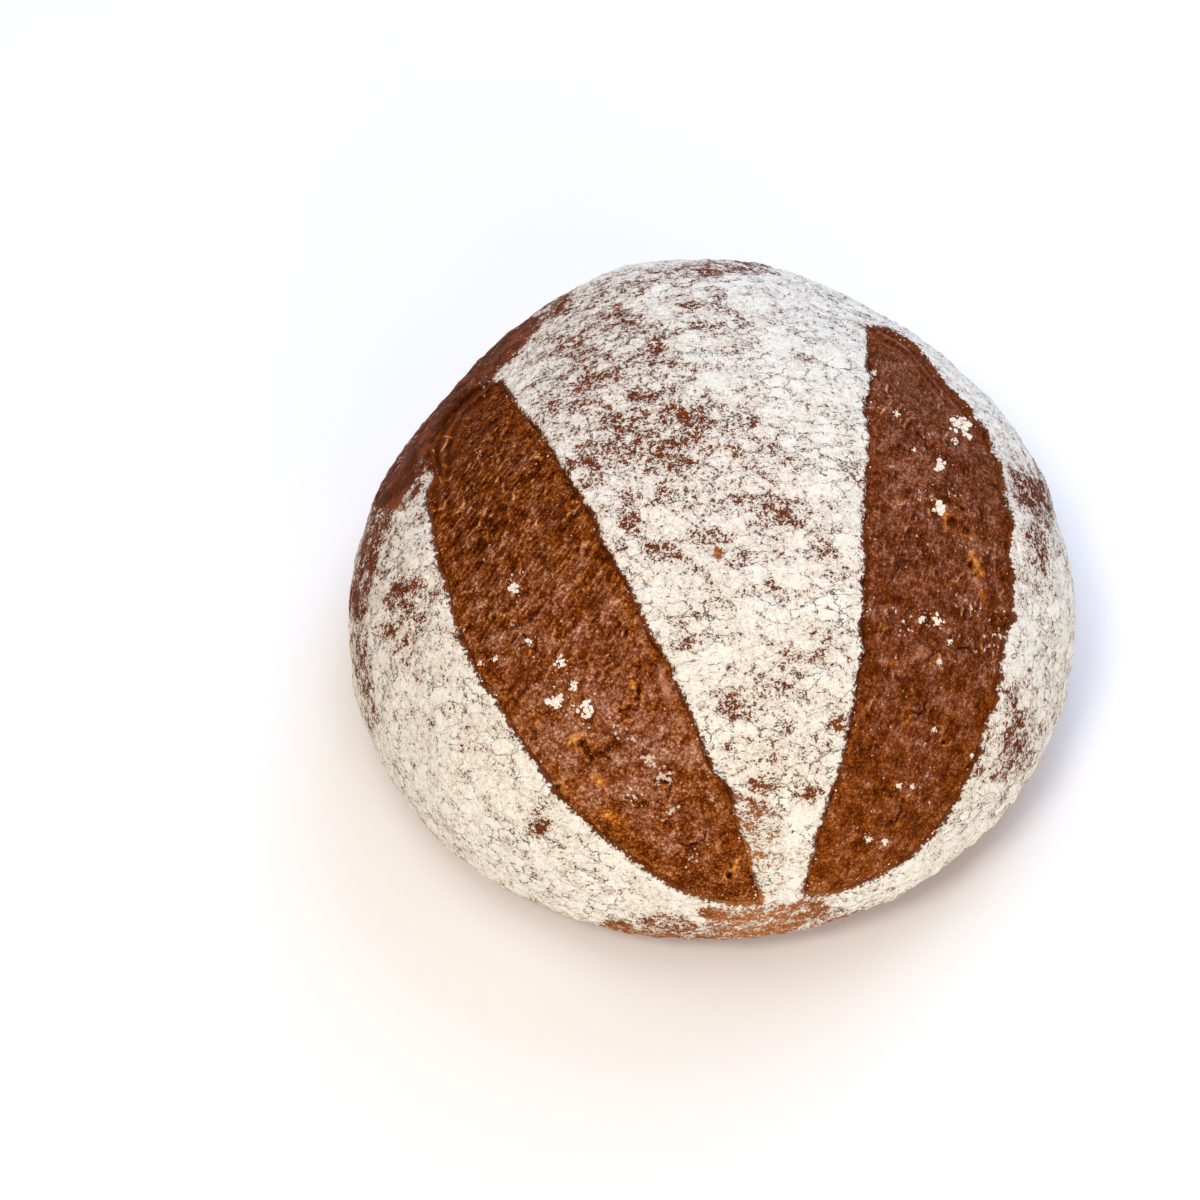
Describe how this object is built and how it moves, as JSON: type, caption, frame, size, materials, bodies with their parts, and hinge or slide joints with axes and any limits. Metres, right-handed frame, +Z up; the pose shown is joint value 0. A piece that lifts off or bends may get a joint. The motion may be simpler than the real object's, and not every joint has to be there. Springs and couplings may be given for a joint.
{
  "type": "spelt bread loaf",
  "caption": "Round hearth-baked spelt loaf: a flat base, a low floured dome and opened slashes that run together towards its front.",
  "frame": {"origin": "middle of the flat base, on the surface that the loaf stands on", "axes": "+Z up out of the dome, -Y towards the front where the slashes run together, +X to the right as seen from the front"},
  "size_m": [0.211, 0.2178, 0.0982],
  "materials": {
    "floured_crust": "matt brown bread crust under a patchy, cracked layer of white flour, bare and torn in the slashes",
    "flour": "dry matt flour in small lumps"
  },
  "bodies": {
    "root": {"loaf": "floured_crust"}
  },
  "joints": []
}
